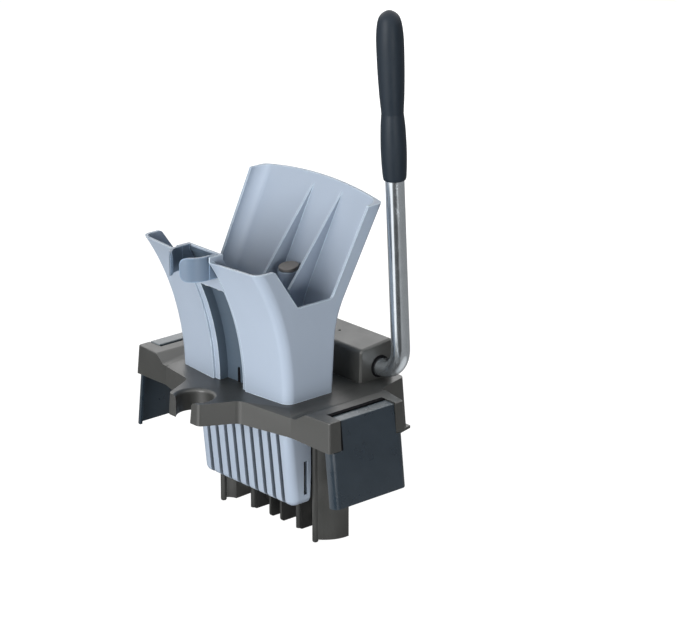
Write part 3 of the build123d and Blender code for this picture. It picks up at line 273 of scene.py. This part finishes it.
PLASTICS = {
    "blue_plastic": dict(
        colour=BLUE, rough=(0.36, 0.44), spread=0.025, edge_wear_and_highlight=2.0, edge=0.002, reach=0.035
    ),
    "clip_plastic": dict(colour=CLIP, rough=(0.3, 0.4), spread=0.03, edge_wear_and_highlight=2.6, edge=0.0022),
    # painted shade: the finish of the dark sheets in the pole channel and the clip's pocket
    "channel_shade_plastic": dict(colour=CHANNEL_SHADE, rough=(0.36, 0.46), spread=0.04, edge_wear_and_highlight=1.0),
    # painted shade: the basket darkens strongly far between its bars
    "basket_gap_shade_plastic": dict(
        colour=BLUE, rough=(0.36, 0.44), spread=0.025, edge_wear_and_highlight=1.3, edge=0.0008, hollow_shade=0.2, reach=0.018
    ),
    "taupe_plastic": dict(colour=TAUPE, rough=(0.36, 0.46), spread=0.07, edge_wear_and_highlight=1.9, specular=0.6),
    "navy_plastic": dict(colour=NAVY, rough=(0.26, 0.36), spread=0.08, edge_wear_and_highlight=1.9, specular=0.6),
    "rail_sheen_plastic": dict(colour=RAIL_SHEEN, rough=(0.24, 0.34), spread=0.05, edge_wear_and_highlight=1.3, specular=0.6),
    # painted shade: the jaw's darker colour and stronger darkening in its corners
    "jaw_plastic": dict(colour=JAW_IN_SHADE, rough=(0.45, 0.56), spread=0.08, edge_wear_and_highlight=2.0, hollow_shade=0.5),
    # painted shadow: near-black for strips and rings that stand in for shaded gaps and openings
    "gap_shadow_plastic": dict(colour=GAP_SHADOW, rough=(0.8, 0.9), spread=0.1, edge_wear_and_highlight=1.0, specular=0.05),
    "dark_plastic": dict(colour=DARK, rough=(0.42, 0.55), spread=0.1, edge_wear_and_highlight=1.8),
    "grip_plastic": dict(
        colour=GRIP, rough=(0.42, 0.55), spread=0.08, edge_wear_and_highlight=1.5, grain=0.25, specular=0.22
    ),
    "knob_plastic": dict(colour=KNOB, rough=(0.42, 0.54), spread=0.07, edge_wear_and_highlight=1.5),
    "bush_plastic": dict(colour=ACETAL, rough=(0.3, 0.4), spread=0.03, edge_wear_and_highlight=1.1),
}
METALS = {
    "plated_steel": dict(colour=ZINC, rough=(0.13, 0.2), streak=(1, 1, 0.03), bare=0.95),
    "steel": dict(colour=STEEL, rough=(0.28, 0.42)),
}
materials = {name: plastic(name, **look) for name, look in PLASTICS.items()}
materials.update({name: metal(name, **look) for name, look in METALS.items()})


def dress(name, finish):
    """Give a CAD node its material."""
    mesh = nodes[name].data
    mesh.materials.clear()
    mesh.materials.append(materials[finish])


for part in frame["record"]["subparts"]:
    dress(part["node"], part["material_slot"])
# the basket gets a finish with strong painted shade between its bars
dress("strainer_basket", "basket_gap_shade_plastic")

# Rounding of sharp edges: widths in millimetres, the weld distance in metres
WELD_DISTANCE = 0.00001
FLAT_LIMIT = radians(0.6)
SHARP_LIMIT = radians(32)
NODE_SEGMENTS = 2
BLOCK_SEGMENTS = 3
NORMAL_WEIGHT = 50
EDGE_WIDTHS = {
    "base_frame": 0.7,
    "funnel": 0.9,
    "pole_clip": 0.8,
    "strainer_basket": 0.7,
    "shaft_housing": 0.6,
    "left_leg": 0.7,
    "right_leg": 0.7,
    "left_side_panel": 0.8,
    "right_side_panel": 0.8,
    "press_jaw": 0.7,
}


def round_edges(obj, width, segments):
    """Round an object's sharp edges and keep the light on its flat faces even."""
    bevel = obj.modifiers.new("bevel", "BEVEL")
    bevel.width = width * MM
    bevel.segments = segments
    bevel.limit_method = "ANGLE"
    bevel.angle_limit = SHARP_LIMIT
    normals = obj.modifiers.new("normals", "WEIGHTED_NORMAL")
    normals.weight = NORMAL_WEIGHT


def soften(name, width):
    """Round a CAD node's sharp edges with modifiers, leaving its mesh as it is."""
    obj = nodes[name]
    weld = obj.modifiers.new("weld", "WELD")
    weld.merge_threshold = WELD_DISTANCE
    flat = obj.modifiers.new("flat", "DECIMATE")
    flat.decimate_type = "DISSOLVE"
    flat.angle_limit = FLAT_LIMIT
    round_edges(obj, width, NODE_SEGMENTS)


for node, width in EDGE_WIDTHS.items():
    soften(node, width)

LATHE_SIDES = 48
BOX_FACES = ((3, 2, 1, 0), (4, 5, 6, 7), (0, 1, 5, 4), (1, 2, 6, 5), (2, 3, 7, 6), (3, 0, 4, 7))


def add_piece(name, vertices, faces, slot, body, smooth=False, finish=None):
    """A mesh piece, given in millimetres, that rides on a body."""
    mesh = bpy.data.meshes.new(name)
    mesh.from_pydata([tuple(MM * value for value in vertex) for vertex in vertices], [], faces)
    mesh.validate()
    shape = bmesh.new()
    shape.from_mesh(mesh)
    bmesh.ops.recalc_face_normals(shape, faces=shape.faces)
    shape.to_mesh(mesh)
    shape.free()
    mesh.polygons.foreach_set("use_smooth", [smooth] * len(mesh.polygons))
    mesh.materials.append(materials[finish or slot])
    obj = bpy.data.objects.new(name, mesh)
    bpy.context.scene.collection.objects.link(obj)
    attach(obj, body)
    return obj


def lathe(name, profile, foot, axis, slot, body, finish=None):
    """A turned piece: radii at distances along an axis that starts at a foot."""
    axis = Vector(axis).normalized()
    across = axis.orthogonal().normalized()
    other = axis.cross(across)
    vertices = []
    for along, radius in profile:
        for step in range(LATHE_SIDES):
            angle = 2 * pi * step / LATHE_SIDES
            spoke = across * cos(angle) + other * sin(angle)
            vertices.append(Vector(foot) + axis * along + spoke * radius)
    faces = []
    for low in range(0, len(vertices) - LATHE_SIDES, LATHE_SIDES):
        high = low + LATHE_SIDES
        for step in range(LATHE_SIDES):
            after = (step + 1) % LATHE_SIDES
            faces.append((low + step, low + after, high + after, high + step))
    return add_piece(name, vertices, faces, slot, body, smooth=True, finish=finish)


def rectangle(xs, ys):
    """The corners of a rectangle, in order around it."""
    return (xs[0], ys[0]), (xs[1], ys[0]), (xs[1], ys[1]), (xs[0], ys[1])


def block(name, xs, ys, zs, slot, body, edge, finish):
    """A straight-sided block with rounded edges."""
    vertices = [(x, y, z) for z in zs for x, y in rectangle(xs, ys)]
    piece = add_piece(name, vertices, BOX_FACES, slot, body, finish=finish)
    round_edges(piece, edge, BLOCK_SEGMENTS)


# Grip: a turned body with a waist groove, open at its foot where the tube goes in
GRIP_FOOT = (123.0, 78.0, 23.3)
GRIP_LEAN = radians(3.0)
GRIP_START = 217.2
GRIP_LENGTH = 180.2
GRIP_ROUNDING = 2
GRIP_PROFILE = (
    (0.006, 10.1), (0.0, 10.6), (0.0, 11.4), (0.006, 12.0), (0.02, 12.4), (0.06, 12.9),
    (0.1, 13.25), (0.16, 13.55), (0.22, 13.5), (0.28, 13.2), (0.33, 12.75), (0.365, 12.2),
    (0.392, 11.7), (0.398, 11.6), (0.404, 11.7), (0.43, 12.0), (0.48, 12.8), (0.56, 13.5),
    (0.63, 13.95), (0.71, 14.25), (0.78, 14.4), (0.82, 14.35), (0.855, 14.15), (0.892, 13.6),
    (0.93, 12.6), (0.95, 11.5), (0.968, 10.1), (0.982, 7.6), (0.993, 4.6), (0.999, 2.0),
    (1.0, 0.05),
)
grip = lathe(
    "grip_body",
    [(GRIP_START + part * GRIP_LENGTH, radius) for part, radius in GRIP_PROFILE],
    GRIP_FOOT,
    (0.0, -sin(GRIP_LEAN), cos(GRIP_LEAN)),
    "grip_plastic",
    "lever",
)
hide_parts("lever_grip")
rounding = grip.modifiers.new("rounding", "SUBSURF")
rounding.levels = GRIP_ROUNDING
rounding.render_levels = GRIP_ROUNDING

# Thin dark sheets behind the funnel's curved front, painted shade on the back and sides of the pole
# channel, open at the slit, and on the back of the clip's pocket. Columns are x and depth, rows are
# heights
CHANNEL_FRONT_Y = -56.5
CHANNEL_FOOT_Z = 10.0
FLARE_RADIUS = 275.0
FLARE_HEIGHT = 153.0
SHEET_THICKNESS = 0.5
SHADE_SHEET_COLUMNS = ((-19.2, 4.0), (-19.2, 14.9), (-1.6, 14.9), (1.6, 14.9), (19.2, 14.9), (19.2, 4.0))
SHADE_SHEET_ROWS = (0.2, 8.5, 17.0, 27.0, 37.0, 47.0, 57.0, 67.0, 77.0, 87.0, 97.0, 107.0, 115.8)
POCKET_COLUMNS = ((-21.3, 14.8), (21.3, 14.8))
POCKET_ROWS = (122.6, 130.0, 138.0, 146.0, 153.0, 156.5)
SLIT_ROWS = 2
SLIT_COLUMN = 2


def flare(height):
    """How far forward of its foot the curved front stands at a height."""
    height = min(height, FLARE_HEIGHT)
    return FLARE_RADIUS - (FLARE_RADIUS ** 2 - height ** 2) ** 0.5


def shade_sheet(name, columns, rows, slit_rows=0):
    """A thin dark sheet of painted shade that follows the curved front at some depths behind it."""
    vertices = [
        (x, CHANNEL_FRONT_Y + depth - flare(height), CHANNEL_FOOT_Z + height)
        for height in rows
        for x, depth in columns
    ]
    width = len(columns)
    faces = []
    for row in range(len(rows) - 1):
        for column in range(width - 1):
            if row >= slit_rows or column != SLIT_COLUMN:
                low = row * width + column
                faces.append((low, low + 1, low + width + 1, low + width))
    piece = add_piece(name, vertices, faces, "clip_plastic", "frame", finish="channel_shade_plastic")
    sheet = piece.modifiers.new("sheet", "SOLIDIFY")
    sheet.thickness = SHEET_THICKNESS * MM
    sheet.offset = 0.0


shade_sheet("channel_shade_sheet", SHADE_SHEET_COLUMNS, SHADE_SHEET_ROWS, SLIT_ROWS)
shade_sheet("pocket_shade_sheet", POCKET_COLUMNS, POCKET_ROWS)

# Dark strip that closes the slit at the foot of the pole channel: painted shade of the opening into the
# dark inside
SLIT_X = (-2.4, 1.9)
SLIT_Y = (-42.3, -40.6)
SLIT_Z = (10.1, 26.8)
SLIT_EDGE = 0.2
block("slit_shadow_strip", SLIT_X, SLIT_Y, SLIT_Z, "dark_plastic", "frame", SLIT_EDGE, "gap_shadow_plastic")

# Tops of the side panels, lighter than their navy as a painted sheen: the left rail stands proud, the
# right one lies sunk beside a dark strip of painted shadow in its recess
RAIL_Y = (-39.4, 36.9)
LEFT_RAIL_X = (-156.4, -140.6)
LEFT_RAIL_Z = (9.6, 13.0)
LEFT_RAIL_EDGE = 1.2
RIGHT_RAIL_X = (142.4, 156.4)
RIGHT_RAIL_Z = (9.6, 10.6)
RIGHT_RAIL_EDGE = 0.4
PANEL_SHADOW_X = (137.4, 142.6)
PANEL_SHADOW_Z = (9.6, 12.2)
PANEL_SHADOW_EDGE = 0.3
RAILS = (
    ("left_panel_rail", LEFT_RAIL_X, LEFT_RAIL_Z, LEFT_RAIL_EDGE),
    ("right_panel_rail", RIGHT_RAIL_X, RIGHT_RAIL_Z, RIGHT_RAIL_EDGE),
)
# the rails' lighter colour is a painted sheen on the panel tops
for name, xs, zs, edge in RAILS:
    block(name, xs, RAIL_Y, zs, "navy_plastic", "frame", edge, "rail_sheen_plastic")
block(
    "right_panel_shadow_strip",
    PANEL_SHADOW_X,
    RAIL_Y,
    PANEL_SHADOW_Z,
    "dark_plastic",
    "frame",
    PANEL_SHADOW_EDGE,
    "gap_shadow_plastic",
)

# Dark strip down the front edge of each side panel, on its sloping outer face, painted as the shadow in
# the gap beside the base's end block; the ends are z and x
STRIP_Y = (-39.1, -36.7)
STRIP_LOW = (-21.0, 160.2)
STRIP_TOP = (10.2, 156.5)
STRIP_DEPTH = (-0.6, 0.2)
for side, sign in (("left", -1), ("right", 1)):
    strip = [
        (sign * (x + depth), y, z)
        for z, x in (STRIP_LOW, STRIP_TOP)
        for depth, y in rectangle(STRIP_DEPTH, STRIP_Y)
    ]
    add_piece(f"{side}_panel_gap_shadow", strip, BOX_FACES, "dark_plastic", "frame", finish="gap_shadow_plastic")

# Dark ring where the lever's shaft leaves the housing: painted shadow of the gap around the shaft
SHAFT_RING_FOOT = (88.9, 78.0, 23.3)
SHAFT_RING_AXIS = (1, 0, 0)
SHAFT_RING_PROFILE = ((0.0, 10.2), (1.2, 10.2), (1.5, 10.5), (1.5, 11.6), (1.0, 12.1), (0.0, 12.2))
lathe(
    "shaft_shadow_ring",
    SHAFT_RING_PROFILE,
    SHAFT_RING_FOOT,
    SHAFT_RING_AXIS,
    "dark_plastic",
    "frame",
    finish="gap_shadow_plastic",
)

# Stage: a pale floor under the lowest point, a white world and soft boxes, in metres
FLOOR_REACH = (-12.0, 12.0)
FLOOR_COLOUR = (0.6, 0.9)
FLOOR_BLEND = 0.75
FLOOR_GLOW = 1.28
FLATTEN = (1.0, 1.0, 0.0)
AMBIENT = 0.14

# What mirrors see: levels of light, and the span over which one goes into the other
FRONT_SIDE = (0.156, -0.988, 0.0)
FRONT_LEVELS = (0.3, 1.3)
FRONT_SPAN = (0.45, 0.97)
CAMERA_SIDE = (0.75, -0.66, 0.0)
CAMERA_LEVELS = (1.0, 0.05)
CAMERA_SPAN = (0.87, 0.95)
NEAR_PLACE = (0.25, 0.17, 0.0)
NEAR_LEVELS = (0.7, 0.0)
NEAR_SPAN = (0.08, 0.24)
OVERHEAD_LEVELS = (0.0, 2.2)
OVERHEAD_SPAN = (0.05, 0.3)

# Soft boxes: name, place, power, size, and whether mirrors see it
LAMP_TARGET = Vector((0.02, 0.0, 0.06))
LAMPS = (
    ("front_box", (0.45, -2.1, 0.45), 45, 1.2, True),
    ("right_box", (1.6, -0.5, 0.0), 10, 0.6, True),
    ("top_box", (-0.2, 0.2, 2.0), 3, 1.0, True),
    ("back_box", (-1.2, 1.9, 0.7), 36, 1.2, False),
)


class Studio(Tree):
    """The node tree of the floor or the world, which differs from ray to ray."""

    def __init__(self, owner):
        super().__init__(owner)
        rays = self.add("ShaderNodeLightPath").outputs
        self.camera = rays["Is Camera Ray"]
        self.glossy = rays["Is Glossy Ray"]
        self.through = rays["Is Transmission Ray"]

    def ramp(self, source, levels, span=(0.0, 1.0)):
        """A value that goes softly from one level to the other over a span."""
        return self.ranged(source, levels, span, "SMOOTHSTEP")

    def toward(self, way, side, levels, span):
        """A value that changes where a direction points to a side."""
        return self.ramp(self.vector("DOT_PRODUCT", way, side)["Value"], levels, span)

    def mirrored(self, way, extra):
        """Light for mirrors: grey, bright in front, dark by the camera, and no less than the extra."""
        bright = self.toward(way, FRONT_SIDE, FRONT_LEVELS, FRONT_SPAN)
        dark = self.toward(way, CAMERA_SIDE, CAMERA_LEVELS, CAMERA_SPAN)
        around = self.combine("MAXIMUM", self.combine("MULTIPLY", dark, bright), extra)
        return self.combine("MULTIPLY", around, self.glossy)


def floor_light(studio):
    """The floor's glow: white to the camera; to mirrors, what is around and a patch under the lever."""
    place = studio.add("ShaderNodeTexCoord").outputs["Object"]
    flat = studio.vector("MULTIPLY", place, FLATTEN)["Vector"]
    way = studio.vector("NORMALIZE", flat)["Vector"]
    near = studio.ramp(studio.vector("DISTANCE", flat, NEAR_PLACE)["Value"], NEAR_LEVELS, NEAR_SPAN)
    shown = studio.ramp(studio.camera, (0.0, FLOOR_GLOW))
    glow = studio.add("ShaderNodeEmission")
    studio.link(studio.combine("MAXIMUM", shown, studio.mirrored(way, near)), glow.inputs["Strength"])
    return glow.outputs["Emission"]


def floor_material():
    """White paper that keeps a faint shadow, mixed with the floor's glow."""
    material = bpy.data.materials.new("floor_white")
    studio = Studio(material)
    paper = studio.tree.nodes["Principled BSDF"]
    paper.inputs["Roughness"].default_value = 1.0
    paper.inputs["Specular IOR Level"].default_value = 0.0
    studio.link(studio.ramp(studio.camera, FLOOR_COLOUR), paper.inputs["Base Color"])
    seen = studio.combine("MULTIPLY", studio.camera, FLOOR_BLEND)
    both = studio.add("ShaderNodeMixShader")
    studio.link(studio.combine("MAXIMUM", seen, studio.glossy), both.inputs["Fac"])
    studio.link(paper.outputs["BSDF"], both.inputs[1])
    studio.link(floor_light(studio), both.inputs[2])
    studio.link(both.outputs["Shader"], studio.tree.nodes["Material Output"].inputs["Surface"])
    return material


def make_floor():
    """A plain floor under the object's lowest point."""
    low = cad_box[0][2]
    mesh = bpy.data.meshes.new("floor")
    mesh.from_pydata([(x, y, low) for x, y in rectangle(FLOOR_REACH, FLOOR_REACH)], [], [(0, 1, 2, 3)])
    mesh.materials.append(floor_material())
    floor = bpy.data.objects.new("floor", mesh)
    bpy.context.scene.collection.objects.link(floor)


def make_world():
    """White to the camera, dim as a light, and in mirrors the same surroundings as on the floor."""
    world = bpy.data.worlds.new("studio")
    bpy.context.scene.world = world
    studio = Studio(world)
    sky = studio.tree.nodes["Background"]
    sky.inputs["Color"].default_value = WHITE
    way = studio.add("ShaderNodeTexCoord").outputs["Generated"]
    split = studio.add("ShaderNodeSeparateXYZ")
    studio.link(way, split.inputs[0])
    overhead = studio.ramp(split.outputs["Z"], OVERHEAD_LEVELS, OVERHEAD_SPAN)
    clear = studio.combine("MAXIMUM", studio.camera, studio.through)
    level = studio.combine("MAXIMUM", clear, studio.mirrored(way, overhead))
    studio.link(studio.combine("MAXIMUM", level, AMBIENT), sky.inputs["Strength"])


def lamp(name, place, power, size, mirrored):
    """A square soft box that points at the middle of the object."""
    light = bpy.data.lights.new(name, "AREA")
    light.energy = power
    light.size = size
    obj = bpy.data.objects.new(name, light)
    obj.location = place
    obj.rotation_euler = (LAMP_TARGET - Vector(place)).to_track_quat("-Z", "Y").to_euler()
    obj.visible_glossy = mirrored
    bpy.context.scene.collection.objects.link(obj)


make_floor()
make_world()
for settings in LAMPS:
    lamp(*settings)

# Camera at the photograph's angle
LOOK_AT = Vector((0.057, 0.049, 0.074))
AZIMUTH = radians(48.6)
ELEVATION = radians(19.5)
DISTANCE = 3.265
SENSOR_WIDTH = 36.0
LENS = 163.6
away = Vector((cos(ELEVATION) * sin(AZIMUTH), -cos(ELEVATION) * cos(AZIMUTH), sin(ELEVATION)))
camera_data = bpy.data.cameras.new("camera")
camera_data.sensor_width = SENSOR_WIDTH
camera_data.lens = LENS
camera = bpy.data.objects.new("camera", camera_data)
camera.location = LOOK_AT + DISTANCE * away
camera.rotation_euler = away.to_track_quat("Z", "Y").to_euler()
bpy.context.scene.collection.objects.link(camera)
bpy.context.scene.camera = camera
bpy.context.scene.view_settings.view_transform = "Standard"
